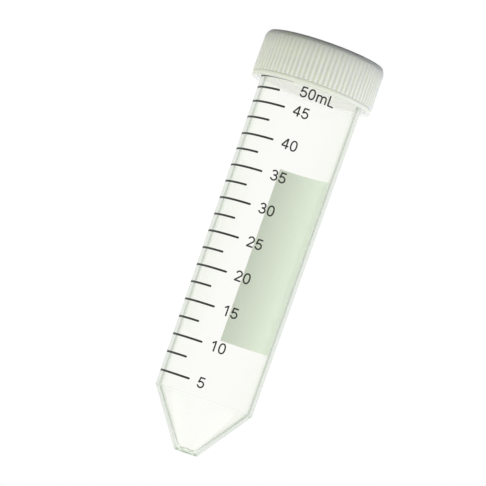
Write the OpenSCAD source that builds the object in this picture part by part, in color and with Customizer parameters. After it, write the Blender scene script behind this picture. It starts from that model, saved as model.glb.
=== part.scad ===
// 50 ml conical tube with a flat screw cap, closed and standing on the flat top of its cap.
// Heights are measured up from the cap's flat top, so the mouth is low and the conical tip is high.
// Sizes are in millimetres. The screw thread is right-handed, and it is a true helix on both pieces.

/* [Tube] */
// Length of the tube from its mouth to its tip
tube_l = 114.5; // [90:0.5:140]
// Outside radius of the neck and of the body next to it
neck_r = 14.5; // [12:0.05:18]
// Height of the straight neck, measured from the mouth
neck_h = 10.1; // [9.5:0.1:14]
// How much smaller the body's outside radius is at the cone, for release from the mould
body_draft = 0.65; // [0.2:0.05:0.8]
// Thickness of the wall at the mouth
mouth_wall = 1.0; // [0.8:0.05:1.6]
// Thickness of the wall where the cone starts
shoulder_wall = 1.0; // [0.8:0.05:1.8]
// Height of the cone
cone_h = 15.1; // [10:0.1:22]
// Radius of the flat end of the cone
tip_r = 3.2; // [2.8:0.1:5]
// Rounding of the edge round the flat end
tip_round = 0.5; // [0.2:0.05:0.8]
// Radius of the floor inside the flat end
floor_r = 2.3; // [2.2:0.05:2.8]
// Thickness of the floor
floor_t = 0.9; // [0.7:0.05:2]
// Rounding of the lip at the mouth
lip_round = 0.3; // [0.1:0.05:0.4]

/* [Gate] */
// Radius of the sunk gate mark in the flat end
gate_r = 1.2; // [0.6:0.1:1.4]
// Depth of the gate mark
gate_d = 0.3; // [0.1:0.05:0.4]
// Radius of the dome on the floor inside, behind the gate mark
gate_dome_r = 1.8; // [1:0.1:2.1]
// Height of the dome
gate_dome_h = 0.45; // [0.2:0.05:0.6]

/* [Thread] */
// Rise of the thread in one turn
pitch = 3.2; // [2.6:0.1:3.6]
// Turns of the ridge on the neck
neck_turns = 1.75; // [1:0.25:2]
// Turns of the ridge in the cap
cap_turns = 1.25; // [0.75:0.25:1.5]
// How far a ridge stands out from the wall that carries it
ridge_h = 1.15; // [0.8:0.05:1.3]
// Width of a ridge along its crest
crest_w = 0.8; // [0.5:0.05:1]
// Width of a ridge at its root
root_w = 1.9; // [1.4:0.05:2.2]
// Distance from the mouth to the middle of the neck's ridge where it starts
ridge_from_mouth = 2.2; // [1.8:0.1:2.6]
// Gap between the crest of a ridge and the wall across from it
crest_gap = 0.35; // [0.25:0.05:0.5]
// Gap between the two ridges on the sides that carry the load
flank_gap = 0.12; // [0.08:0.01:0.25]

/* [Cap] */
// Height of the cap from its flat top to its rim
cap_h = 13.1; // [12:0.1:16]
// Thickness of the cap's top
cap_top_t = 1.3; // [1:0.1:2]
// Thickness of the cap's side wall, measured to the bottom of the grooves
cap_wall = 0.95; // [0.8:0.05:1.6]
// Number of grip ribs round the cap
rib_count = 78; // [48:1:90]
// Width of a grip rib
rib_w = 1.0; // [0.7:0.05:1.2]
// How far a grip rib stands out, next to the rim
rib_h = 0.31; // [0.2:0.01:0.4]
// How much less a grip rib stands out next to the top
rib_draft = 0.16; // [0.05:0.01:0.18]
// Height of the plain band and the groove between it and the ribs
band_h = 1.45; // [0.8:0.05:2]
// How far the plain band stands out from the bottom of the grooves
band_out = 0.1; // [0.05:0.01:0.15]
// Width of the groove between the ribs and the plain band
parting_w = 0.2; // [0.1:0.05:0.4]
// Depth of that groove below the bottom of the grip's grooves
parting_d = 0.1; // [0.05:0.01:0.2]
// Height of the rounded edge of the flat top
edge_h = 1.0; // [0.4:0.05:1.2]
// How far in the rounded edge reaches
edge_in = 0.75; // [0.3:0.05:0.9]
// Rounding of the rim outside
rim_round = 0.2; // [0.1:0.05:0.3]
// Bevel inside the rim, which leads the thread in
lead_in = 0.4; // [0.2:0.05:0.6]

/* [Liner] */
// Thickness of the sealing liner
liner_t = 0.7; // [0.5:0.05:1.2]
// Gap between the liner's edge and the cap's side wall
liner_gap = 0.15; // [0.1:0.05:0.2]
// How far the bead that keeps the liner in stands out from the cap's side wall
keeper_r = 0.3; // [0.25:0.05:0.4]
// Gap between that bead and the liner
keeper_gap = 0.05; // [0.05:0.05:0.15]

/* [Hidden] */
$fn = 96;

CAP_WHITE = [0.90, 0.90, 0.87];
LINER_WHITE = [0.96, 0.96, 0.94];
TUBE_CLEAR = [0.82, 0.87, 0.85, 0.45];

// Radii across the screw joint, from the neck outwards
neck_crest_r = neck_r + ridge_h;
cap_bore_r = neck_crest_r + crest_gap;
cap_crest_r = neck_r + crest_gap;
groove_r = cap_bore_r + cap_wall;
band_r = groove_r + band_out;
rib_crest_r = groove_r + rib_h;
liner_r = cap_bore_r - liner_gap;
keeper_z = cap_top_t + liner_t + keeper_gap + keeper_r;
ribs_end_z = cap_h - band_h;

// Heights of the tube, which rests with its mouth on the liner
mouth_z = cap_top_t + liner_t;
tip_z = mouth_z + tube_l;
shoulder_z = tip_z - cone_h;
neck_end_z = mouth_z + neck_h;

// The body's outline and its bore
shoulder_r = neck_r - body_draft;
mouth_bore_r = neck_r - mouth_wall;
shoulder_bore_r = shoulder_r - shoulder_wall;
cone_slope = (shoulder_r - tip_r) / cone_h;
floor_z = tip_z - floor_t;
gate_dome_ball_r = (gate_dome_r * gate_dome_r + gate_dome_h * gate_dome_h) / (2 * gate_dome_h);

// The two ridges of the screw joint: the cap's lies on the tip side of the neck's and holds the tube down
RIDGE_SINK = 0.25;
RIDGE_STEPS_PER_TURN = 60;
RIDGE_FADE_STEPS = 7;
neck_ridge_z = mouth_z + ridge_from_mouth;
ridge_taper = (root_w - crest_w) / 2 / (ridge_h + RIDGE_SINK);
ridge_reach = neck_crest_r - cap_crest_r;
cap_ridge_z = neck_ridge_z + crest_w + ridge_taper * ridge_reach + flank_gap;

// Straight pieces that the rounded edge of the flat top is made of
EDGE_STEPS = 6;

// A small overlap that keeps a cutting shape clear of the face that it cuts
CUT = 1;

// Points of an arc from angle a0 to angle a1, in n steps
function arc(centre, r, a0, a1, n = 6) =
    [for (i = [0 : n]) let (a = a0 + (a1 - a0) * i / n) centre + r * [cos(a), sin(a)]];

// Corners of the ridge's cross-section at step i, as points in space
function ridge_ring(i, steps, turns, wall_r, crest_r, z0) =
    let (outward = sign(crest_r - wall_r),
         a = 360 * turns * i / steps,
         z = z0 + pitch * a / 360,
         fade = min(1, i / RIDGE_FADE_STEPS, (steps - i) / RIDGE_FADE_STEPS),
         root = wall_r - outward * RIDGE_SINK,
         hidden = wall_r - outward * RIDGE_SINK / 2,
         crest = hidden + (crest_r - hidden) * fade)
    [for (corner = [[root, -root_w / 2], [crest, -crest_w / 2], [crest, crest_w / 2], [root, root_w / 2]])
        [corner[0] * cos(a), corner[0] * sin(a), z + corner[1]]];

// A right-handed helical ridge that grows out of wall_r to crest_r and fades out at both ends
module ridge(turns, wall_r, crest_r, z0) {
    steps = round(turns * RIDGE_STEPS_PER_TURN);
    inward = crest_r < wall_r;
    points = [for (i = [0 : steps]) each ridge_ring(i, steps, turns, wall_r, crest_r, z0)];
    sides = [for (i = [0 : steps - 1]) for (k = [0 : 3])
        [4 * i + k, 4 * i + (k + 1) % 4, 4 * i + 4 + (k + 1) % 4, 4 * i + 4 + k]];
    ends = [[3, 2, 1, 0], [for (k = [0 : 3]) 4 * steps + k]];
    faces = [each sides, each ends];
    polyhedron(points, inward ? [for (face = faces) [for (k = [len(face) - 1 : -1 : 0]) face[k]]] : faces);
}

// Half of the tube's outline, closed along the axis
module tube_outline() {
    cone_lean = atan(cone_slope);
    round_z = tip_z - tip_round;
    round_r = tip_r + cone_slope * tip_round - tip_round / cos(cone_lean);
    polygon([
        [0, mouth_z],
        each arc([neck_r - lip_round, mouth_z + lip_round], lip_round, -90, 0),
        [neck_r, neck_end_z],
        [shoulder_r, shoulder_z],
        each arc([round_r, round_z], tip_round, cone_lean, 90),
        [0, tip_z]
    ]);
}

// Half of the hollow inside the tube, with the dome on its floor left standing
module tube_bore() {
    difference() {
        polygon([
            [0, mouth_z - CUT],
            [mouth_bore_r + lip_round, mouth_z - CUT],
            each arc([mouth_bore_r + lip_round, mouth_z + lip_round], lip_round, -90, -180),
            [shoulder_bore_r, shoulder_z],
            [floor_r, floor_z],
            [0, floor_z]
        ]);
        translate([0, floor_z + gate_dome_ball_r - gate_dome_h]) circle(gate_dome_ball_r);
    }
}

// Half of the sunk gate mark in the flat end
module gate_mark() {
    translate([0, tip_z - gate_d]) square([gate_r, gate_d + CUT]);
}

// The moulded tube: mouth, threaded neck, drafted body and conical end
module tube() color(TUBE_CLEAR) {
    rotate_extrude() difference() {
        tube_outline();
        tube_bore();
        gate_mark();
    }
    ridge(neck_turns, neck_r, neck_crest_r, neck_ridge_z);
}

// Outline of the ribbed side wall, seen along the axis
module rib_outline() {
    circle(groove_r);
    for (i = [0 : rib_count - 1])
        rotate(360 * i / rib_count)
            translate([rib_crest_r - rib_w / 2, 0]) circle(rib_w / 2, $fn = 24);
}

// Half of the shape that trims the ribbed wall: the rounded edge, and the ribs' slight lean towards the top
module rib_envelope() {
    edge_r = rib_crest_r - rib_draft;
    polygon([
        [0, 0],
        for (i = [0 : EDGE_STEPS])
            let (a = 90 * i / EDGE_STEPS)
            [edge_r - edge_in * (1 - sin(a)), edge_h * (1 - cos(a))],
        [rib_crest_r, ribs_end_z],
        [0, ribs_end_z]
    ]);
}

// Half of the groove that ends the ribs and of the plain band between it and the rim
module plain_band() {
    polygon([
        [0, ribs_end_z],
        [groove_r - parting_d, ribs_end_z],
        [groove_r - parting_d, ribs_end_z + parting_w],
        [band_r, ribs_end_z + parting_w],
        each arc([band_r - rim_round, cap_h - rim_round], rim_round, 0, 90),
        [0, cap_h]
    ]);
}

// Half of the hollow inside the cap, with its bevelled rim
module cap_bore() {
    polygon([
        [0, cap_top_t],
        [cap_bore_r, cap_top_t],
        [cap_bore_r, cap_h - lead_in],
        [cap_bore_r + lead_in, cap_h],
        [cap_bore_r + lead_in, cap_h + CUT],
        [0, cap_h + CUT]
    ]);
}

// The screw cap: flat top, ribbed grip, plain band, and inside them the liner's keeper bead and the ridge
module cap() color(CAP_WHITE) {
    difference() {
        union() {
            intersection() {
                linear_extrude(ribs_end_z) rib_outline();
                rotate_extrude() rib_envelope();
            }
            rotate_extrude() plain_band();
        }
        rotate_extrude() cap_bore();
    }
    rotate_extrude() translate([cap_bore_r, keeper_z]) circle(keeper_r, $fn = 32);
    ridge(cap_turns, cap_bore_r, cap_crest_r, cap_ridge_z);
}

// The soft disc in the cap that the mouth is pressed against
module cap_liner() color(LINER_WHITE)
    translate([0, 0, cap_top_t]) cylinder(r = liner_r, h = liner_t);

cap();
cap_liner();
tube();
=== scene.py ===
"""A capped 50 ml conical tube: its moulded surfaces, its print, their finishes, a studio and a camera.

Sizes are millimetres in the part's own frame. The cap's flat top is at height 0, the tip points up, and the
side with the printed scale faces -Y.
"""

from __future__ import annotations

import logging
import math
from dataclasses import dataclass, field
from enum import Enum

import bpy
import numpy as np
from mathutils import Matrix


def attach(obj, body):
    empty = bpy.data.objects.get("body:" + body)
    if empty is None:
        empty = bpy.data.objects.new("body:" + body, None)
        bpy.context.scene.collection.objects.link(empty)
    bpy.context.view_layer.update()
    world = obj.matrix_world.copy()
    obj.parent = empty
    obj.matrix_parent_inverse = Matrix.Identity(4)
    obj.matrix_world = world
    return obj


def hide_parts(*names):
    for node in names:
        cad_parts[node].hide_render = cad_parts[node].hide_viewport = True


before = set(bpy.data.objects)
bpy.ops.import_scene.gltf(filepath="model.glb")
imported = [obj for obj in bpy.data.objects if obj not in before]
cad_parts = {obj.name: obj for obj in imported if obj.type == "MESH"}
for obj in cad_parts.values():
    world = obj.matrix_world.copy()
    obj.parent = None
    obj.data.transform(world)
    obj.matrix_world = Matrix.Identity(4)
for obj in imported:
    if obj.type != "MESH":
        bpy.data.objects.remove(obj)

LOG = logging.getLogger("conical_tube")
MM = 0.001
Array = np.ndarray
Point = tuple[float, float]


# ---------------------------------------------------------------- surfaces

class Profile:
    """An outline in the half-plane of radius and height, drawn by a pen that moves along it."""

    def __init__(self, radius: float, height: float) -> None:
        """Puts the pen down at a radius and a height."""
        self.rows: list[Array] = [np.array([[radius, height]])]

    def line_to(self, radius: float, height: float, steps: int = 1) -> Profile:
        """Draws a straight stretch to a point.

        Args:
            radius: Radius of the end point.
            height: Height of the end point.
            steps: How many equal steps the stretch is cut into.

        Returns:
            The profile itself, so that calls can follow each other.
        """
        share = np.linspace(0.0, 1.0, steps + 1)[1:, None]
        start = self.rows[-1][-1]
        self.rows.append(start + share * (np.array([radius, height]) - start))
        return self

    def arc(self, centre: Point, radius: float, start: float, end: float, steps: int = 6) -> Profile:
        """Draws an arc: centre plus radius times (cosine, sine) of an angle that runs from start to end.

        Args:
            centre: Radius and height of the arc's centre.
            radius: The arc's own radius.
            start: First angle in degrees, 0 pointing away from the axis and 90 up.
            end: Last angle in degrees.
            steps: How many equal steps the arc is cut into.

        Returns:
            The profile itself.
        """
        angle = np.radians(np.linspace(start, end, steps + 1))
        self.rows.append(np.array(centre) + radius * np.stack([np.cos(angle), np.sin(angle)], axis=1))
        return self

    def points(self) -> Array:
        """The outline as an array of (radius, height) rows, without repeated points."""
        rows = np.concatenate(self.rows)
        apart = np.linalg.norm(np.diff(rows, axis=0), axis=1) > 1e-6
        return rows[np.concatenate([[True], apart])]


def soft_min(a: Array, b: Array, blend: float) -> Array:
    """The lower of two heights, with the corner between them rounded: the mean less half a softened gap."""
    return 0.5 * (a + b - np.sqrt((a - b) ** 2 + blend ** 2))


def grid_quads(rows: int, columns: int, closed: bool, first: int = 0) -> Array:
    """Faces between the neighbours of a grid of vertices.

    Args:
        rows: Number of rows.
        columns: Number of columns.
        closed: Whether the last column joins the first.
        first: Index of the grid's first vertex.

    Returns:
        Vertex indices, four to a face.
    """
    index = first + np.arange(rows * columns).reshape(rows, columns)
    if closed:
        index = np.concatenate([index, index[:, :1]], axis=1)
    corners = [index[:-1, :-1], index[:-1, 1:], index[1:, 1:], index[1:, :-1]]
    return np.stack(corners, axis=-1).reshape(-1, 4)


def signed_volume(points: Array, triangles: Array) -> float:
    """Volume inside closed triangles: a sixth of the sum of each first corner times the others' cross."""
    a, b, c = (points[triangles[:, k]] for k in range(3))
    return float(np.einsum("ij,ij->i", a, np.cross(b, c)).sum() / 6.0)


def mesh_object(name: str, points: Array, quads: Array, triangles: Array | None = None) -> bpy.types.Object:
    """Makes a closed mesh, smooth but for its sharp edges, with its faces turned outwards.

    Args:
        name: Name of the new object.
        points: Vertices in millimetres, (n, 3).
        quads: Faces of four vertices.
        triangles: Faces of three vertices, if there are any.

    Returns:
        The object, linked to the scene.
    """
    triangles = np.empty((0, 3), int) if triangles is None else triangles
    halves = np.concatenate([quads[:, [0, 1, 2]], quads[:, [0, 2, 3]], triangles])
    if signed_volume(points, halves) < 0.0:
        quads, triangles = quads[:, ::-1], triangles[:, ::-1]
    sizes = np.concatenate([np.full(len(quads), 4), np.full(len(triangles), 3)])
    corners = np.concatenate([quads.ravel(), triangles.ravel()])
    mesh = bpy.data.meshes.new(name)
    mesh.vertices.add(len(points))
    mesh.vertices.foreach_set("co", (points * MM).ravel())
    mesh.loops.add(len(corners))
    mesh.loops.foreach_set("vertex_index", corners)
    mesh.polygons.add(len(sizes))
    mesh.polygons.foreach_set("loop_start", np.concatenate([[0], np.cumsum(sizes)[:-1]]))
    mesh.polygons.foreach_set("loop_total", sizes)
    mesh.update(calc_edges=True)
    mesh.polygons.foreach_set("use_smooth", np.ones(len(sizes), bool))
    mesh.set_sharp_from_angle(angle=math.radians(38.0))
    piece = bpy.data.objects.new(name, mesh)
    bpy.context.scene.collection.objects.link(piece)
    return piece


def turned_surface(name: str, radius: Array, height: Array, angle: Array, poles: Point) -> bpy.types.Object:
    """Makes a closed surface round the axis: each vertex is (radius cos angle, radius sin angle, height).

    Args:
        name: Name of the new object.
        radius: Radius of each vertex, (rows, columns).
        height: Height of each vertex, (rows, columns).
        angle: Angle of each column in radians.
        poles: Heights of the two points on the axis that close the first and the last row.

    Returns:
        The object.
    """
    rows, columns = radius.shape
    ring = np.stack([radius * np.cos(angle), radius * np.sin(angle), height], axis=-1).reshape(-1, 3)
    points = np.concatenate([ring, [[0.0, 0.0, poles[0]], [0.0, 0.0, poles[1]]]])
    here = np.arange(columns)
    there = np.roll(here, -1)
    last = (rows - 1) * columns
    first_fan = np.stack([np.full(columns, rows * columns), there, here], axis=1)
    last_fan = np.stack([np.full(columns, rows * columns + 1), last + here, last + there], axis=1)
    fans = np.concatenate([first_fan, last_fan])
    return mesh_object(name, points, grid_quads(rows, columns, closed=True), fans)


@dataclass(frozen=True)
class Helix:
    """A right-handed screw ridge, as a height over the wall that carries it."""

    start: float
    turns: float
    pitch: float = 3.2
    height: float = 1.15
    crest: float = 0.8
    root: float = 1.75
    fade: float = 7.0 / 60.0

    def relief(self, angle: Array, level: Array) -> Array:
        """How far the ridge stands out at each point.

        The ridge's middle climbs by the pitch in each turn. Its height falls from the crest's edge to the
        root's by a smooth step, and fades in and out over a share of a turn at its ends.

        Args:
            angle: Angles in radians from 0 to a full turn.
            level: Heights, which broadcast against the angles.

        Returns:
            The relief in millimetres.
        """
        relief = np.zeros(np.broadcast(angle, level).shape)
        for lap in range(math.ceil(self.turns)):
            turned = angle / (2.0 * math.pi) + lap
            away = np.abs(level - self.start - self.pitch * turned)
            flank = np.clip((self.root / 2.0 - away) / (self.root / 2.0 - self.crest / 2.0), 0.0, 1.0)
            ends = np.clip(np.minimum(turned, self.turns - turned) / self.fade, 0.0, 1.0)
            relief = np.maximum(relief, self.height * flank ** 2 * (3.0 - 2.0 * flank) * ends)
        return relief


# ---------------------------------------------------------------- finishes

def linear(code: str) -> tuple[float, float, float, float]:
    """Turns an sRGB hex colour into linear red, green, blue and alpha."""
    parts = [int(code[k:k + 2], 16) / 255.0 for k in (1, 3, 5)]
    curve = [p / 12.92 if p <= 0.04045 else ((p + 0.055) / 1.055) ** 2.4 for p in parts]
    return (curve[0], curve[1], curve[2], 1.0)


def add_node(tree: bpy.types.NodeTree, kind: str, values: dict | None = None,
             **links: object) -> bpy.types.Node:
    """Adds a node, gives it its settings, and links its inputs.

    Args:
        tree: The node tree.
        kind: The node's type, without the prefix that all shader nodes have.
        values: Settings of the node, and constants of its inputs by name or number.
        **links: Output sockets by the input that they feed, where a space in its name is an underscore. A
            node stands for its first output.

    Returns:
        The node.
    """
    node = tree.nodes.new("ShaderNode" + kind)
    for key, value in (values or {}).items():
        if isinstance(key, str) and hasattr(node, key):
            setattr(node, key, value)
        else:
            node.inputs[key].default_value = value
    for key, source in links.items():
        target = int(key[1:]) if key[1:].isdigit() else key.replace("_", " ")
        socket = source.outputs[0] if isinstance(source, bpy.types.Node) else source
        tree.links.new(socket, node.inputs[target])
    return node


def new_material(name: str) -> tuple[bpy.types.Material, bpy.types.NodeTree]:
    """Makes an empty node material and returns it with its tree."""
    material = bpy.data.materials.new(name)
    material.use_nodes = True
    material.node_tree.nodes.clear()
    return material, material.node_tree


def set_ramp(node: bpy.types.Node, stops: list[tuple[float, str]]) -> None:
    """Gives a colour ramp its stops, each a position and an sRGB hex colour."""
    elements = node.color_ramp.elements
    while len(elements) < len(stops):
        elements.new(1.0)
    for element, (position, code) in zip(elements, stops):
        element.position = position
        element.color = linear(code)


class Wall(Enum):
    """The two skins of the clear wall, with how each is tinted and given painted edge shade by the angle that
    it crosses at.
    """

    OUTSIDE = "outside"
    BORE = "bore"


@dataclass(frozen=True)
class ClearPolypropylene:
    """Injection-moulded clear polypropylene: glossy and faintly green, with painted shade where it is seen
    edge-on.

    The edge ramps paint shade into the base colour: the grey-green line that a clear wall shows where its
    inner skin turns away, nearly black on the bore, in place of the light that the wall bends and reflects
    there. The taper brings it on sooner along the cone, and the solid end is tinted on its own. This is a
    stand-in for light
    in a thin wall: shadows, soft light and rays that keep being reflected in the wall pass straight through
    it, and such a caught ray is dimmed once.
    """

    ior: float = 1.49
    roughness: float = 0.035
    uneven: Point = (0.6, 1.4)
    face: str = "#FFFFFD"
    caught: str = "#B4C2AD"
    caught_after: float = 2.5
    thick: str = "#E8EEE5"
    thick_end: Point = (115.4, 115.9)
    taper: tuple[float, float, float] = (106.0, 116.0, 0.12)
    flow_mm: float = 9.0
    flow_stretch: float = 0.12
    ripple_mm: float = 0.2
    # The ramps' darker stops are painted shade: the grey-green line where a skin is seen edge-on, nearly
    # black on the bore.
    stops: dict = field(default_factory=lambda: {
        Wall.OUTSIDE: [(0.0, "#FFFFFD"), (0.53, "#FDFEFA"), (0.58, "#EEF3EA"), (0.61, "#D0DACB"),
                       (0.64, "#C6D1C1"), (0.67, "#DCE5D8"), (0.71, "#E9F0E6"), (1.0, "#F2F6F0")],
        Wall.BORE: [(0.0, "#FFFFFD"), (0.50, "#FDFEFA"), (0.60, "#F6F9F2"), (0.69, "#E2EADC"),
                    (0.77, "#B4BFAD"), (0.85, "#606C5A"), (0.91, "#242A22"), (1.0, "#0E120D")],
    })

    def material(self, wall: Wall) -> bpy.types.Material:
        """Builds the material of one skin of the wall.

        Args:
            wall: Which skin it is for.

        Returns:
            The material.
        """
        material, tree = new_material(f"moulded_clear_polypropylene_{wall.value}")
        place = add_node(tree, "TexCoord").outputs["Object"]
        level = add_node(tree, "SeparateXYZ", Vector=place).outputs["Z"]
        stretched = add_node(tree, "Mapping", {"Scale": (1.0, 1.0, self.flow_stretch)}, Vector=place)
        flow = add_node(tree, "TexNoise", {"Scale": 1.0 / (self.flow_mm * MM), "Detail": 2.0},
                        Vector=stretched)
        low, high = (self.roughness * share for share in self.uneven)
        gloss = add_node(tree, "MapRange", {"To Min": low, "To Max": high}, Value=flow)
        facing = add_node(tree, "LayerWeight", {"Blend": 0.5})
        start, end, gain = self.taper
        # Along the cone the painted edge shade comes on sooner.
        cone_edge_shade = add_node(tree, "MapRange",
                           {"From Min": start * MM, "From Max": end * MM, "To Max": gain}, Value=level)
        edge_on = add_node(tree, "Math", {"operation": "ADD"}, i0=facing.outputs["Facing"], i1=cone_edge_shade)
        # Faint green face-on, and painted shade where the skin is seen edge-on.
        tint_and_edge_shade = add_node(tree, "ValToRGB", Fac=edge_on)
        set_ramp(tint_and_edge_shade, self.stops[wall])
        start, end = self.thick_end
        solid = add_node(tree, "MapRange", {"From Min": start * MM, "From Max": end * MM}, Value=level)
        body = add_node(tree, "Mix", {"data_type": "RGBA", 7: linear(self.thick)}, Factor=solid, i6=tint_and_edge_shade)
        ripple = add_node(tree, "Bump", {"Strength": 0.02, "Distance": self.ripple_mm * MM}, Height=flow)
        shader = add_node(tree, "BsdfPrincipled", {"IOR": self.ior, "Transmission Weight": 1.0},
                          Base_Color=body.outputs[2], Roughness=gloss, Normal=ripple)
        path = add_node(tree, "LightPath")
        soft = add_node(tree, "Math", {"operation": "MAXIMUM"}, i0=path.outputs["Is Shadow Ray"],
                        i1=path.outputs["Is Diffuse Ray"])
        trapped = add_node(tree, "Math", {"operation": "GREATER_THAN", 1: self.caught_after},
                           i0=path.outputs["Glossy Depth"])
        lit = add_node(tree, "Math", {"operation": "MAXIMUM"}, i0=soft, i1=trapped)
        first = add_node(tree, "Math", {"operation": "LESS_THAN", 1: 0.5},
                         i0=path.outputs["Transparent Depth"])
        once = add_node(tree, "Math", {"operation": "MULTIPLY"}, i0=trapped, i1=first)
        dimmed = add_node(tree, "Mix", {"data_type": "RGBA", 6: linear(self.face), 7: linear(self.caught)},
                          Factor=once)
        open_wall = add_node(tree, "BsdfTransparent", Color=dimmed.outputs[2])
        wall_shader = add_node(tree, "MixShader", Fac=lit, i1=shader, i2=open_wall)
        add_node(tree, "OutputMaterial", Surface=wall_shader)
        return material


@dataclass(frozen=True)
class WhitePolyethylene:
    """Injection-moulded white polyethylene: satin, waxy, and thin enough at the rim for light to glow in it.

    The grip has painted shade by radius: grey in the grooves, where shade falls, and lighter on the ribs'
    crests.
    The foot, where the flat top's edge turns in, is made darker in place of the shade of what the cap stands
    on.
    Up the band that painted shade fades to the edge colour, so the band is painted darker next to the ribs,
    and the rim's flat end takes the ring colour, a painted shade that holds down its brightness under the
    overhead light.
    """

    # Crest and groove are painted shade on the grip: grey in the grooves, lighter on the crests.
    crest: str = "#EFF2E6"
    groove: str = "#E1E5D7"
    # The white where no shade is painted.
    clean: str = "#F8F9E9"
    # Painted shade at the foot, next to what the cap stands on.
    foot: str = "#CBCCC3"
    # The lighter end of the band's painted shade, by the rim.
    edge: str = "#F2F4E8"
    # Painted shade on the rim's flat end, which faces the overhead light.
    ring: str = "#CED4C6"
    grip: Point = (16.93, 17.24)
    foot_depth: float = 0.63
    band: Point = (11.8, 12.9)
    rim: Point = (12.75, 12.95)
    bore: Point = (16.3, 16.7)
    glow: Point = (12.0, 1.0)
    roughness: float = 0.42
    uneven: float = 0.06
    mottle: Point = (0.98, 1.0)
    cloud_mm: float = 6.0
    grain_mm: float = 0.25
    grain_depth_mm: float = 0.02

    def material(self) -> bpy.types.Material:
        """Builds the material."""
        material, tree = new_material("moulded_white_polyethylene")
        place = add_node(tree, "TexCoord").outputs["Object"]
        level = add_node(tree, "SeparateXYZ", Vector=place).outputs["Z"]
        cloud = add_node(tree, "TexNoise", {"Scale": 1.0 / (self.cloud_mm * MM), "Detail": 3.0},
                         Vector=place)
        grain = add_node(tree, "TexNoise", {"Scale": 1.0 / (self.grain_mm * MM), "Detail": 2.0},
                         Vector=place)
        flat = add_node(tree, "VectorMath", {"operation": "MULTIPLY", 1: (1.0, 1.0, 0.0)}, i0=place)
        radius = add_node(tree, "VectorMath", {"operation": "LENGTH"}, i0=flat).outputs["Value"]
        low, high = self.grip
        depth = add_node(tree, "MapRange",
                         {"From Min": (low - self.foot_depth) * MM, "From Max": high * MM}, Value=radius)
        shade = add_node(tree, "ValToRGB", Fac=depth)
        # Painted shade by radius: darkest at the foot, grey in the grooves, lighter on the crests.
        set_ramp(shade, [(0.04, self.clean), (0.1, self.foot), (0.27, self.foot), (0.53, self.groove),
                         (0.68, self.groove), (0.97, self.crest)])
        colour = shade.outputs["Color"]
        # Painted shade up the band, from the grooves' grey to the edge colour, then the ring's painted shade
        # on the rim.
        for (start, end), code in ((self.band, self.edge), (self.rim, self.ring)):
            reach = add_node(tree, "MapRange", {"From Min": start * MM, "From Max": end * MM}, Value=level)
            colour = add_node(tree, "Mix", {"data_type": "RGBA", 7: linear(code)},
                              Factor=reach, i6=colour).outputs[2]
        low, high = self.mottle
        mottle = add_node(tree, "MapRange", {"To Min": low, "To Max": high}, Value=cloud)
        mottled = add_node(tree, "VectorMath", {"operation": "SCALE"}, i0=colour, Scale=mottle)
        gloss = add_node(tree, "MapRange", {"To Min": self.roughness - self.uneven,
                                            "To Max": self.roughness + self.uneven}, Value=cloud)
        skin = add_node(tree, "Bump", {"Strength": 0.12, "Distance": self.grain_depth_mm * MM},
                        Height=grain)
        start, end = self.bore
        inner, outer = self.glow
        deep = add_node(tree, "MapRange", {"From Min": start * MM, "From Max": end * MM,
                                           "To Min": inner * MM, "To Max": outer * MM}, Value=radius)
        shader = add_node(tree, "BsdfPrincipled",
                          {"IOR": 1.51, "Subsurface Weight": 1.0, "Subsurface Radius": (1.0, 1.0, 0.8)},
                          Subsurface_Scale=deep, Base_Color=mottled, Roughness=gloss, Normal=skin)
        add_node(tree, "OutputMaterial", Surface=shader)
        return material


@dataclass(frozen=True)
class PrintedInk:
    """Screen-printed ink: a thin film with a dull gloss, a little uneven in its density.

    A film that passes light gets painted shade: its colour is darker toward one end of its stretch across.
    One that passes none is left out of reflections, which would mirror it as dashes inside the clear wall.
    """

    name: str
    dense: str
    thin: str
    roughness: float = 0.5
    passes: float = 0.0
    # Colour level at the shaded end; below 1 it paints shade.
    faint: float = 1.0
    across: Point = (1.2, -10.5)
    mesh_mm: float = 0.8
    uneven: float = 0.08

    def material(self) -> bpy.types.Material:
        """Builds the material."""
        material, tree = new_material(self.name)
        place = add_node(tree, "TexCoord").outputs["Object"]
        film = add_node(tree, "TexNoise", {"Scale": 1.0 / (self.mesh_mm * MM), "Detail": 3.0}, Vector=place)
        colour = add_node(tree, "ValToRGB", Fac=film)
        set_ramp(colour, [(0.35, self.dense), (0.75, self.thin)])
        axes = add_node(tree, "SeparateXYZ", Vector=place)
        start, end = self.across
        # Painted shade: the colour is scaled down toward one end of the stretch across.
        weight = add_node(tree, "MapRange", {"From Min": start * MM, "From Max": end * MM,
                                             "To Min": self.faint}, Value=axes.outputs["X"])
        shade = add_node(tree, "VectorMath", {"operation": "SCALE"}, i0=colour, Scale=weight)
        gloss = add_node(tree, "MapRange", {"To Min": self.roughness - self.uneven,
                                            "To Max": self.roughness + self.uneven}, Value=film)
        shader = add_node(tree, "BsdfPrincipled", {"IOR": 1.5}, Base_Color=shade, Roughness=gloss)
        surface = shader
        if self.passes > 0.0:
            behind = add_node(tree, "BsdfTranslucent", Color=shade)
            both = add_node(tree, "MixShader", {0: self.passes}, i1=surface, i2=behind)
            surface = both
        else:
            path = add_node(tree, "LightPath")
            mirrored = add_node(tree, "Math", {"operation": "GREATER_THAN", 1: 0.5},
                                i0=path.outputs["Glossy Depth"])
            clear = add_node(tree, "BsdfTransparent")
            direct = add_node(tree, "MixShader", Fac=mirrored, i1=surface, i2=clear)
            surface = direct
        add_node(tree, "OutputMaterial", Surface=surface)
        return material


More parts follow.
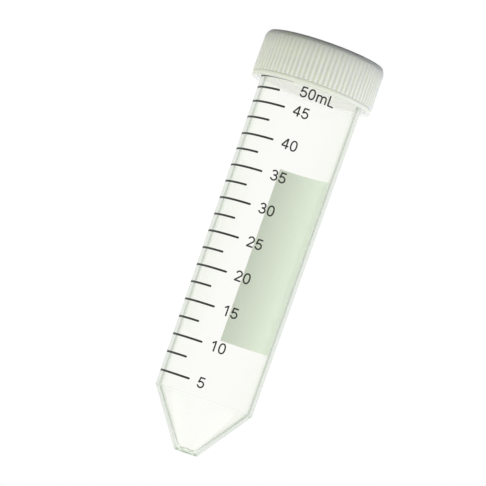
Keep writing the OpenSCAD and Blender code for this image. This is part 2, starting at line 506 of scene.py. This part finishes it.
@dataclass(frozen=True)
class FoamedPolyethylene:
    """Foamed white polyethylene liner: matt, with fine closed cells that dimple its skin."""

    colour: str = "#F2F2EC"
    cell_mm: float = 0.4

    def material(self) -> bpy.types.Material:
        """Builds the material."""
        material, tree = new_material("foamed_white_polyethylene")
        place = add_node(tree, "TexCoord").outputs["Object"]
        cells = add_node(tree, "TexVoronoi", {"Scale": 1.0 / (self.cell_mm * MM)}, Vector=place)
        # The ramp paints each cell's dimple darker, painted shade in the dimples.
        colour = add_node(tree, "ValToRGB", Fac=cells)
        set_ramp(colour, [(0.0, "#E4E4DC"), (0.5, self.colour)])
        dimples = add_node(tree, "Bump", {"Strength": 0.25, "Distance": 0.05 * MM}, Height=cells)
        shader = add_node(tree, "BsdfPrincipled", {"Roughness": 0.7, "IOR": 1.5},
                          Base_Color=colour, Normal=dimples)
        add_node(tree, "OutputMaterial", Surface=shader)
        return material


# ---------------------------------------------------------------- pieces

@dataclass
class ScrewCap:
    """The flat screw cap, one white moulding: ribbed grip, plain band, rim, inner ridge and liner keeper."""

    height: float = 13.1
    top: float = 1.3
    bore: float = 16.0
    groove: float = 16.95
    ribs: int = 78
    rib_width: float = 1.0
    crest: float = 17.26
    lean: float = 0.16
    edge_height: float = 1.5
    edge_bulge: float = 1.7
    edge_reach: float = 0.75
    band: float = 17.05
    band_height: float = 1.45
    rim_round: float = 0.2
    lead_in: float = 0.4
    parting: Point = (0.2, 0.1)
    keeper: Point = (2.35, 0.3)
    thread_span: Point = (4.2, 11.0)
    ridge: Helix = field(default_factory=lambda: Helix(start=5.43, turns=1.25))
    finish: WhitePolyethylene = field(default_factory=WhitePolyethylene)

    def rib_angles(self) -> Array:
        """Column angles: each rib's ten, closer together at its two feet."""
        share = np.array([-0.5, -0.37, -0.325, -0.24, -0.11, 0.0, 0.11, 0.24, 0.325, 0.37])
        step = 2.0 * math.pi / self.ribs
        return ((np.arange(self.ribs)[:, None] + 0.5 + share) * step).ravel()

    def rib_radius(self, angle: Array) -> Array:
        """Radius of the ribbed outline: round ribs on the grooves' circle, with a small fillet at each foot.

        A rib is a circle of half its width whose centre is that much inside the crest, seen from the axis as
        c cos d plus the root of p squared less c squared sin squared d, where d is the angle from its middle.
        """
        step = 2.0 * math.pi / self.ribs
        off = (angle / step - 0.5 - np.round(angle / step - 0.5)) * step
        half = self.rib_width / 2.0
        centre = self.crest - half
        arc = np.sqrt(np.clip(half ** 2 - (centre * np.sin(off)) ** 2, 0.0, None))
        rib = centre * np.cos(off) + arc
        return -soft_min(-rib, np.full_like(rib, -self.groove), 0.04)

    def outside(self) -> Array:
        """The outer profile from the flat top to the rim, as the ribs' crests have it.

        The edge is a bulged quarter: it comes in by its reach times one less the sine to the power of the
        bulge, and up by its height times one less the cosine to that power.
        """
        edge = self.crest - self.lean
        ribs_end = self.height - self.band_height
        turn = np.radians(np.linspace(0.0, 90.0, 11))
        rounded = np.stack([edge - self.edge_reach * (1.0 - np.sin(turn) ** self.edge_bulge),
                            self.edge_height * (1.0 - np.cos(turn) ** self.edge_bulge)], axis=1)
        lower = Profile(*rounded[-1]).line_to(self.crest, ribs_end - 0.2, 4)
        lower.arc((self.crest - 0.15, ribs_end - 0.2), 0.15, 0.0, 75.0, 3)
        parting_width, parting_depth = self.parting
        parting_end = ribs_end + parting_width
        lower.line_to(self.groove - parting_depth, ribs_end + 0.01)
        lower.line_to(self.groove - parting_depth, parting_end - 0.02).line_to(self.band - 0.03, parting_end)
        lower.line_to(self.band, parting_end + 0.04).line_to(self.band, self.height - self.rim_round, 2)
        lower.arc((self.band - self.rim_round, self.height - self.rim_round), self.rim_round, 0.0, 90.0, 4)
        flat = Profile(4.0, 0.0).line_to(15.6, 0.0, 3).line_to(edge - self.edge_reach, 0.0)
        return np.concatenate([flat.points(), rounded[1:], lower.points()[1:]])

    def inside(self) -> Array:
        """The inner profile from the rim, over the wall with its keeper bead, to the underside of the top."""
        keeper_level, keeper_radius = self.keeper
        wall = Profile(self.bore + self.lead_in + 0.1, self.height)
        wall.line_to(self.bore + self.lead_in, self.height - 0.03)
        wall.line_to(self.bore, self.height - self.lead_in, 2).line_to(self.bore, self.thread_span[1])
        wall.line_to(self.bore, self.thread_span[0], 56).line_to(self.bore, keeper_level + keeper_radius)
        wall.arc((self.bore, keeper_level), keeper_radius, 90.0, 270.0, 8)
        wall.line_to(self.bore, self.top + 0.1).line_to(self.bore - 0.1, self.top).line_to(6.0, self.top, 2)
        return wall.points()

    def build(self) -> bpy.types.Object:
        """Builds the cap as one closed surface and dresses it.

        Returns:
            The cap, which stands for the CAD node of the same piece.
        """
        angle = self.rib_angles()
        outside, inside = self.outside(), self.inside()
        outer_height = np.repeat(outside[:, 1:], len(angle), axis=1)
        outer_radius = np.repeat(outside[:, :1], len(angle), axis=1)
        ribbed = (outside[:, 1] > 0.0) & (outside[:, 1] < self.height - self.band_height)
        outer_radius[ribbed] = soft_min(outer_radius[ribbed], self.rib_radius(angle)[None, :], 0.03)
        inner_height = np.repeat(inside[:, 1:], len(angle), axis=1)
        inner_radius = np.repeat(inside[:, :1], len(angle), axis=1)
        on_wall = np.abs(inside[:, 0] - self.bore) < 1e-6
        inner_radius[on_wall] -= self.ridge.relief(angle[None, :], inner_height[on_wall])
        radius = np.concatenate([outer_radius, inner_radius])
        height = np.concatenate([outer_height, inner_height])
        cap = turned_surface("screw_cap", radius, height, angle, poles=(0.0, self.top))
        cap.data.materials.append(self.finish.material())
        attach(cap, "cap")
        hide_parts("cap")
        return cap


@dataclass
class Liner:
    """The soft sealing disc in the cap, whose CAD shape is right and only needs its finish."""

    finish: FoamedPolyethylene = field(default_factory=FoamedPolyethylene)

    def build(self) -> bpy.types.Object:
        """Dresses the CAD node and returns it."""
        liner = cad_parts["cap_liner"]
        liner.data.materials.clear()
        liner.data.materials.append(self.finish.material())
        return liner


@dataclass
class ConicalTube:
    """The clear moulded tube: mouth, threaded neck, drafted body and conical tip."""

    mouth: float = 2.0
    tip: float = 116.5
    shoulder: float = 101.4
    neck: float = 14.5
    draft: float = 0.65
    wall: float = 1.0
    lip: float = 0.3
    neck_height: float = 10.1
    tip_radius: float = 3.2
    tip_round: float = 0.5
    floor_radius: float = 2.3
    floor_wall: float = 0.9
    dome: Point = (1.8, 0.45)
    gate: Point = (1.2, 0.3)
    columns: int = 384
    ridge: Helix = field(default_factory=lambda: Helix(start=4.2, turns=1.75))
    finish: ClearPolypropylene = field(default_factory=ClearPolypropylene)

    def outer_radius(self, height: Array | float) -> Array | float:
        """Radius of the drafted body at a height, which falls evenly from the neck to the shoulder."""
        neck_end = self.mouth + self.neck_height
        return self.neck - self.draft * (height - neck_end) / (self.shoulder - neck_end)

    def bore_profile(self) -> Array:
        """The inner profile from the dome on the floor down to the lip."""
        dome_radius, dome_height = self.dome
        ball = (dome_radius ** 2 + dome_height ** 2) / (2.0 * dome_height)
        level = self.tip - self.floor_wall
        half = math.degrees(math.asin(dome_radius / ball))
        body_end = self.neck - self.draft - self.wall
        mouth_bore = self.neck - self.wall
        bore = Profile(0.25, level - dome_height)
        bore.arc((0.0, level + ball - dome_height), ball, -87.0, -90.0 + half, 8)
        bore.line_to(self.floor_radius - 0.15, level, 2).line_to(self.floor_radius + 0.05, level - 0.1)
        bore.line_to(body_end - 0.09, self.shoulder + 0.12, 10)
        bore.line_to(body_end - 0.03, self.shoulder + 0.02, 2).line_to(body_end, self.shoulder - 0.12, 2)
        bore.line_to(mouth_bore, self.mouth + self.lip, 16)
        bore.arc((mouth_bore + self.lip, self.mouth + self.lip), self.lip, 180.0, 270.0, 5)
        return bore.points()

    def outer_profile(self) -> Array:
        """The outer profile from the lip up to the sunk gate mark in the tip."""
        shoulder_radius = self.neck - self.draft
        cone_height = self.tip - self.shoulder
        slope = (shoulder_radius - self.tip_radius) / cone_height
        lean = math.degrees(math.atan(slope))
        round_centre = (self.tip_radius + slope * self.tip_round
                        - self.tip_round / math.cos(math.radians(lean)))
        gate_radius, gate_depth = self.gate
        wall = Profile(self.neck - self.lip, self.mouth)
        wall.arc((self.neck - self.lip, self.mouth + self.lip), self.lip, -90.0, 0.0, 5)
        wall.line_to(self.neck, self.mouth + self.neck_height, 100)
        wall.line_to(shoulder_radius + 0.001, self.shoulder - 0.1, 16)
        wall.line_to(shoulder_radius - 0.01, self.shoulder)
        wall.line_to(shoulder_radius - slope * 0.1, self.shoulder + 0.1)
        cone_end = round_centre + self.tip_round * math.cos(math.radians(lean))
        wall.line_to(cone_end, self.tip - self.tip_round + self.tip_round * math.sin(math.radians(lean)), 10)
        wall.arc((round_centre, self.tip - self.tip_round), self.tip_round, lean, 90.0, 6)
        wall.line_to(gate_radius + 0.05, self.tip, 2).line_to(gate_radius, self.tip - 0.05)
        wall.line_to(gate_radius, self.tip - gate_depth, 2).line_to(0.25, self.tip - gate_depth, 2)
        return wall.points()

    def build(self) -> bpy.types.Object:
        """Builds the tube as one closed wall with two skins and dresses each.

        Returns:
            The tube, which stands for the CAD node of the same piece.
        """
        angle = np.linspace(0.0, 2.0 * math.pi, self.columns, endpoint=False)
        bore, outer = self.bore_profile(), self.outer_profile()
        profile = np.concatenate([bore, outer])
        radius = np.repeat(profile[:, :1], self.columns, axis=1)
        height = np.repeat(profile[:, 1:], self.columns, axis=1)
        rows = np.arange(len(profile))
        neck = (rows >= len(bore)) & (np.abs(profile[:, 0] - self.neck) < 1e-6)
        radius[neck] += self.ridge.relief(angle[None, :], height[neck])
        poles = (float(bore[0, 1]), float(outer[-1, 1]))
        tube = turned_surface("clear_tube", radius, height, angle, poles)
        for wall in Wall:
            tube.data.materials.append(self.finish.material(wall))
        skins = np.zeros(len(tube.data.polygons), int)
        skins[:(len(bore) - 1) * self.columns] = 1
        skins[(len(profile) - 1) * self.columns:len(profile) * self.columns] = 1
        tube.data.polygons.foreach_set("material_index", skins)
        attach(tube, "tube")
        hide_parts("tube")
        return tube


# ---------------------------------------------------------------- print

@dataclass(frozen=True)
class Lettering:
    """A plain upright alphabet of even strokes. Its shapes are in shares of the height of a numeral."""

    height: float = 2.94
    stroke: float = 0.42

    @staticmethod
    def straight(start: Point, end: Point) -> Array:
        """A straight centre line, in eight steps."""
        return np.linspace(start, end, 9)

    @staticmethod
    def bow(centre: Point, reach: Point, start: float, end: float, square: float = 2.0) -> Array:
        """A bowed centre line: centre plus reach times the cosine and sine to the power of 2 over square.

        Args:
            centre: Middle of the bow.
            reach: Its reach across and up.
            start: First angle in degrees.
            end: Last angle in degrees.
            square: 2 gives an ellipse, and more gives straighter sides.

        Returns:
            The centre line, (n, 2).
        """
        angle = np.radians(np.linspace(start, end, 33))
        wave = np.stack([np.cos(angle), np.sin(angle)], axis=1)
        return np.array(centre) + np.array(reach) * np.sign(wave) * np.abs(wave) ** (2.0 / square)

    def sign(self, letter: str) -> tuple[float, list[Array]]:
        """The advance and the centre lines of a sign.

        Args:
            letter: A numeral from 0 to 5, "m" or "L".

        Returns:
            How far the next sign starts from this one, and this one's centre lines.
        """
        straight, bow = self.straight, self.bow
        lines = {
            "0": [bow((0.383, 0.5), (0.262, 0.448), 0.0, 360.0, 2.3)],
            "1": [straight((0.463, 0.0), (0.463, 1.0)), straight((0.463, 0.95), (0.16, 0.735))],
            "2": [bow((0.381, 0.692), (0.252, 0.257), 172.0, -35.0), straight((0.586, 0.545), (0.12, 0.07)),
                  straight((0.065, 0.061), (0.70, 0.061))],
            "3": [bow((0.357, 0.722), (0.231, 0.227), 165.0, -85.0),
                  bow((0.367, 0.303), (0.272, 0.248), 90.0, -165.0),
                  straight((0.27, 0.527), (0.39, 0.527))],
            "4": [straight((0.50, 0.97), (0.065, 0.29)), straight((0.04, 0.282), (0.714, 0.282)),
                  straight((0.517, 0.0), (0.517, 1.0))],
            "5": [straight((0.18, 0.939), (0.656, 0.939)), straight((0.222, 0.97), (0.145, 0.45)),
                  bow((0.374, 0.325), (0.272, 0.27), 150.0, -165.0)],
            "m": [straight((0.154, 0.0), (0.154, 0.725))]
            + [bow((x, 0.45), (0.2145, 0.218), 180.0, 0.0, 2.3) for x in (0.3685, 0.7975)]
            + [straight((x, 0.47), (x, 0.0)) for x in (0.583, 1.012)],
            "L": [straight((0.165, 0.0), (0.165, 1.0)), straight((0.165, 0.061), (0.72, 0.061))],
        }
        return (1.163 if letter == "m" else 0.776), lines[letter]

    def ribbons(self, text: str) -> list[Array]:
        """The strokes of a word as flat ribbons, from x = 0 to the right and from the baseline up.

        Each ribbon is its centre line shifted by half the stroke's width to both sides.

        Args:
            text: The word.

        Returns:
            One (n, 3, 2) grid for each stroke: left edge, middle and right edge.
        """
        ribbons, pen = [], 0.0
        for letter in text:
            advance, lines = self.sign(letter)
            for line in lines:
                line = line * self.height + np.array([pen, 0.0])
                along = np.gradient(line, axis=0)
                across = np.stack([-along[:, 1], along[:, 0]], axis=1)
                across *= self.stroke / 2.0 / np.linalg.norm(across, axis=1, keepdims=True)
                ribbons.append(np.stack([line + across, line, line - across], axis=1))
            pen += advance * self.height
        return ribbons


class Mark(Enum):
    """The two lengths of a graduation line: the angle at which its right end stops."""

    MAJOR = -23.1
    MINOR = -35.7


@dataclass
class Print:
    """The ink on the tube: graduation lines, their numbers and the white writing patch."""

    tube: ConicalTube
    lettering: Lettering = field(default_factory=Lettering)
    film: float = 0.02
    gap: float = 0.004
    line_start: float = -85.0
    line_width: float = 0.58
    number_start: float = -3.35
    drift: Point = (80.0, 0.0045)
    patch_height: Point = (33.6, 84.1)
    patch_angle: Point = (-5.0, 78.0)
    run: tuple[float, float, float] = (19.38, 5.116, -0.01863)
    shifts: dict = field(default_factory=lambda: {5.0: 0.2, 40.0: 0.2, 47.5: 0.45, 50.0: 1.55})
    unit_level: float = 14.6
    black: PrintedInk = field(default_factory=lambda: PrintedInk(
        "screen_printed_black_ink", "#11110D", "#1E1E18"))
    # The white ink's 0.83 is its level of painted shade at the patch's darker end.
    white: PrintedInk = field(default_factory=lambda: PrintedInk(
        "screen_printed_white_ink", "#F1F9EB", "#F5FBF0", 0.6, 0.75, 0.83))

    def mark_height(self, volume: float) -> float:
        """Height of a volume's mark.

        The distance below the tip is a first length, a rise for each step and a bend for its square, so the
        steps shrink evenly as the bore widens. Two marks stand 0.2 mm off, and the last two close up.
        """
        step = (volume - 5.0) / 2.5
        first, rise, bend = self.run
        below_tip = first + rise * step + bend * step ** 2 - self.shifts.get(volume, 0.0)
        return self.tube.tip - below_tip

    def drifted(self, level: float) -> float:
        """How far the print has crept to the right at a height: evenly more from one height down."""
        start, rate = self.drift
        return rate * max(0.0, start - level)

    def wrap(self, across: Array, up: Array, back: bool = False) -> tuple[Array, Array]:
        """Wraps a flat sheet onto the tube and gives it a film's thickness.

        A point at an arc length goes to the angle of that length over the radius, and to the body's radius.

        Args:
            across: Arc lengths from the middle of the camera side, to the right, with the tip down.
            up: Heights.
            back: Whether the sheet goes on the far side, with lengths to the same hand.

        Returns:
            The vertices of the film's outer and inner sheets in one array, and the faces between them.
        """
        body = self.tube.outer_radius(up)
        angle = across / self.tube.outer_radius(float(np.mean(up)))
        side = 1.0 if back else -1.0
        sheets = [np.stack([-out * np.sin(angle), side * out * np.cos(angle), up], axis=-1)
                  for out in (body + self.film, body + self.gap)]
        rows, columns = up.shape
        count = rows * columns
        points = np.concatenate([sheet.reshape(-1, 3) for sheet in sheets])
        index = np.arange(count).reshape(rows, columns)
        rim = np.concatenate([index[0, :-1], index[:-1, -1], index[-1, :0:-1], index[:0:-1, 0]])
        ahead = np.roll(rim, -1)
        top = grid_quads(rows, columns, closed=False)
        sides = np.stack([ahead, rim, rim + count, ahead + count], axis=1)
        return points, np.concatenate([top, top[:, ::-1] + count, sides])

    def join(self, name: str, films: list[tuple[Array, Array]], ink: PrintedInk) -> bpy.types.Object:
        """Joins wrapped films into one piece on the tube.

        Args:
            name: Name of the piece.
            films: Vertices and faces of each film.
            ink: What it is printed with.

        Returns:
            The piece.
        """
        starts = np.cumsum([0] + [len(points) for points, _ in films[:-1]])
        points = np.concatenate([points for points, _ in films])
        faces = np.concatenate([faces + start for (_, faces), start in zip(films, starts)])
        piece = mesh_object(name, points, faces)
        piece.data.materials.append(ink.material())
        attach(piece, "tube")
        return piece

    def graduation_lines(self) -> bpy.types.Object:
        """Prints the 19 lines, each a bar with round ends: its half width is a circle's chord near an end."""
        films = []
        for volume in np.arange(5.0, 52.5, 2.5):
            mark = Mark.MAJOR if volume % 5.0 == 0.0 else Mark.MINOR
            level = self.mark_height(float(volume))
            radius = self.tube.outer_radius(level)
            start, end = (math.radians(a) * radius + self.drifted(level)
                          for a in (self.line_start, mark.value))
            half = self.line_width / 2.0
            turn = np.radians(np.linspace(8.0, 90.0, 6))
            ends = half * (1.0 - np.cos(turn))
            middle = np.linspace(start + half, end - half, 50)[1:-1]
            along = np.concatenate([start + ends, middle, (end - ends)[::-1]])
            inset = np.minimum(np.minimum(along - start, end - along), half)
            width = np.sqrt(half ** 2 - (half - inset) ** 2)
            share = np.array([-1.0, 0.0, 1.0])
            across = np.repeat(along[:, None], 3, axis=1)
            films.append(self.wrap(across, level + width[:, None] * share))
        return self.join("graduation_lines", films, self.black)

    def graduation_numbers(self) -> bpy.types.Object:
        """Prints a number beside every second line, and the unit beside the last."""
        films = []
        for volume in range(5, 55, 5):
            text = "50mL" if volume == 50 else str(volume)
            middle = self.unit_level if volume == 50 else self.mark_height(float(volume))
            for ribbon in self.lettering.ribbons(text):
                across = self.number_start + self.drifted(middle) + ribbon[..., 0]
                up = middle - (ribbon[..., 1] - self.lettering.height / 2.0)
                films.append(self.wrap(across, up))
        return self.join("graduation_numbers", films, self.black)

    def writing_patch(self) -> bpy.types.Object:
        """Prints the white field on the far side, a rectangle on the body's surface."""
        radius = self.tube.outer_radius(sum(self.patch_height) / 2.0)
        across = np.linspace(*(math.radians(a) * radius for a in self.patch_angle), 49)
        up = np.linspace(*self.patch_height, 25)
        grid = np.meshgrid(across, up, indexing="ij")
        return self.join("writing_patch", [self.wrap(grid[0], grid[1], back=True)], self.white)


# ---------------------------------------------------------------- studio

@dataclass
class Studio:
    """A pale floor, soft light that is brightest overhead and behind, and the camera.

    The floor and the sky look clear white, whatever light they give to the object. The floor gives none next
    to the object's foot, and its full bounce further out.
    """

    floor_radius: float = 4000.0
    floor_level: float = -0.05
    floor_drop: Point = (5.0, 40.0)
    floor_seen: float = 1.02
    fibre_mm: float = 2.0
    behind: float = 1.06
    front: float = 0.98
    side: float = 0.26
    clear: float = 0.965
    overhead: float = 0.6
    bounce: float = 0.64
    board: float = 0.1
    cool: tuple[float, float, float, float] = (1.0, 1.0, 1.18, 1.0)
    cool_side: Point = (0.3, -0.7)
    softbox: float = 95.0
    contact: Point = (19.5, 25.0)
    distance: float = 769.7
    height: float = 109.82
    pan: float = 0.303
    tilt: float = 3.894
    roll: float = 199.297
    lens: float = 209.6

    def floor(self) -> bpy.types.Object:
        """Lays the floor, a wide thin disc with its rim turned down."""
        angle = np.linspace(0.0, 2.0 * math.pi, 96, endpoint=False)
        bevel, drop = self.floor_drop
        disc = Profile(self.floor_radius, self.floor_level - drop)
        disc.line_to(self.floor_radius, self.floor_level - bevel)
        disc.line_to(self.floor_radius - bevel, self.floor_level).line_to(200.0, self.floor_level, 6)
        rows = disc.points()
        radius = np.repeat(rows[:, :1], len(angle), axis=1)
        height = np.repeat(rows[:, 1:], len(angle), axis=1)
        poles = (self.floor_level - drop, self.floor_level)
        floor = turned_surface("studio_floor", radius, height, angle, poles)
        material, tree = new_material("matt_pale_board")
        place = add_node(tree, "TexCoord").outputs["Object"]
        fibre = add_node(tree, "TexNoise", {"Scale": 1.0 / (self.fibre_mm * MM)}, Vector=place)
        colour = add_node(tree, "ValToRGB", Fac=fibre)
        set_ramp(colour, [(0.0, "#F0F0F0"), (1.0, "#F4F4F4")])
        board = add_node(tree, "BsdfPrincipled", {"Roughness": 0.9, "Specular IOR Level": 0.1},
                         Base_Color=colour)
        near, far = self.contact
        away = add_node(tree, "VectorMath", {"operation": "LENGTH"}, i0=place)
        bounce = add_node(tree, "MapRange",
                          {"From Min": near * MM, "From Max": far * MM, "To Max": self.bounce},
                          Value=away.outputs["Value"])
        path = add_node(tree, "LightPath")
        seen = add_node(tree, "Mix", {"data_type": "FLOAT", 2: self.clear},
                        Factor=path.outputs["Is Diffuse Ray"], i3=bounce)
        shown = add_node(tree, "Mix", {"data_type": "FLOAT", 3: self.floor_seen},
                         Factor=path.outputs["Is Camera Ray"], i2=seen)
        glow = add_node(tree, "Emission", Strength=shown)
        share = add_node(tree, "Math", {"operation": "MULTIPLY", 1: self.board},
                         i0=path.outputs["Is Camera Ray"])
        shader = add_node(tree, "MixShader", Fac=share, i1=glow, i2=board)
        add_node(tree, "OutputMaterial", Surface=shader)
        floor.data.materials.append(material)
        return floor

    def light(self) -> None:
        """Sets a world that brightens evenly from the front to the back, and a broad soft light overhead."""
        world = bpy.data.worlds.new("soft_studio")
        world.use_nodes = True
        tree = world.node_tree
        tree.nodes.clear()
        place = add_node(tree, "TexCoord")
        axes = add_node(tree, "SeparateXYZ", Vector=place.outputs["Generated"])
        depth = add_node(tree, "MapRange", {"From Min": -1.0, "To Min": self.front, "To Max": self.behind},
                         Value=axes.outputs["Y"])
        across = add_node(tree, "Math", {"operation": "MULTIPLY", 1: -self.side}, i0=axes.outputs["X"])
        total = add_node(tree, "Math", {"operation": "ADD"}, i0=depth, i1=across)
        path = add_node(tree, "LightPath")
        seen = add_node(tree, "Mix", {"data_type": "FLOAT", 2: self.clear},
                        Factor=path.outputs["Is Diffuse Ray"], i3=total)
        shown = add_node(tree, "Mix", {"data_type": "FLOAT", 3: 1.0},
                         Factor=path.outputs["Is Camera Ray"], i2=seen)
        start, end = self.cool_side
        side = add_node(tree, "MapRange", {"From Min": start, "From Max": end}, Value=axes.outputs["X"])
        cooled = add_node(tree, "Math", {"operation": "MULTIPLY"}, i0=side,
                          i1=path.outputs["Is Diffuse Ray"])
        hue = add_node(tree, "Mix", {"data_type": "RGBA", 6: (1.0, 1.0, 1.0, 1.0), 7: self.cool},
                       Factor=cooled)
        sky = add_node(tree, "Background", Color=hue.outputs[2], Strength=shown)
        add_node(tree, "OutputWorld", Surface=sky)
        bpy.context.scene.world = world
        lamp = bpy.data.lights.new("overhead_softbox", "SUN")
        lamp.energy = self.overhead
        lamp.angle = math.radians(self.softbox)
        bpy.context.scene.collection.objects.link(bpy.data.objects.new("overhead_softbox", lamp))

    def camera(self) -> bpy.types.Object:
        """Places the camera in front of the scale, looking slightly down, and turned so that the cap is up.

        Its level right and up follow from its pan and tilt, and its roll turns both about the line of sight.
        """
        pan, tilt, roll = (math.radians(a) for a in (self.pan, self.tilt, self.roll))
        ahead = np.array([math.cos(tilt) * math.sin(pan), math.cos(tilt) * math.cos(pan), -math.sin(tilt)])
        right = np.array([math.cos(pan), -math.sin(pan), 0.0])
        up = np.cross(right, ahead)
        turned_right = math.cos(roll) * right + math.sin(roll) * up
        turned_up = math.cos(roll) * up - math.sin(roll) * right
        place = np.eye(4)
        place[:3, 0], place[:3, 1], place[:3, 2] = turned_right, turned_up, -ahead
        place[:3, 3] = np.array([0.0, -self.distance, self.height]) * MM
        data = bpy.data.cameras.new("camera")
        data.lens = self.lens
        data.sensor_width = 36.0
        data.clip_start, data.clip_end = 0.05, 20.0
        camera = bpy.data.objects.new("camera", data)
        camera.matrix_world = Matrix(place.tolist())
        bpy.context.scene.collection.objects.link(camera)
        bpy.context.scene.camera = camera
        return camera


def main() -> None:
    """Builds the object's pieces in order, sets the studio up and reports each piece."""
    logging.basicConfig(level=logging.INFO, format="%(name)s: %(message)s")
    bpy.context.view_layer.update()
    tube = ConicalTube()
    ink = Print(tube)
    pieces = [ScrewCap().build(), Liner().build(), tube.build(),
              ink.graduation_lines(), ink.graduation_numbers(), ink.writing_patch()]
    studio = Studio()
    studio.floor()
    studio.light()
    studio.camera()
    bpy.context.scene.view_settings.view_transform = "Standard"
    for piece in pieces:
        LOG.info("%s: %d faces", piece.name, len(piece.data.polygons))


if __name__ == "__main__":
    main()
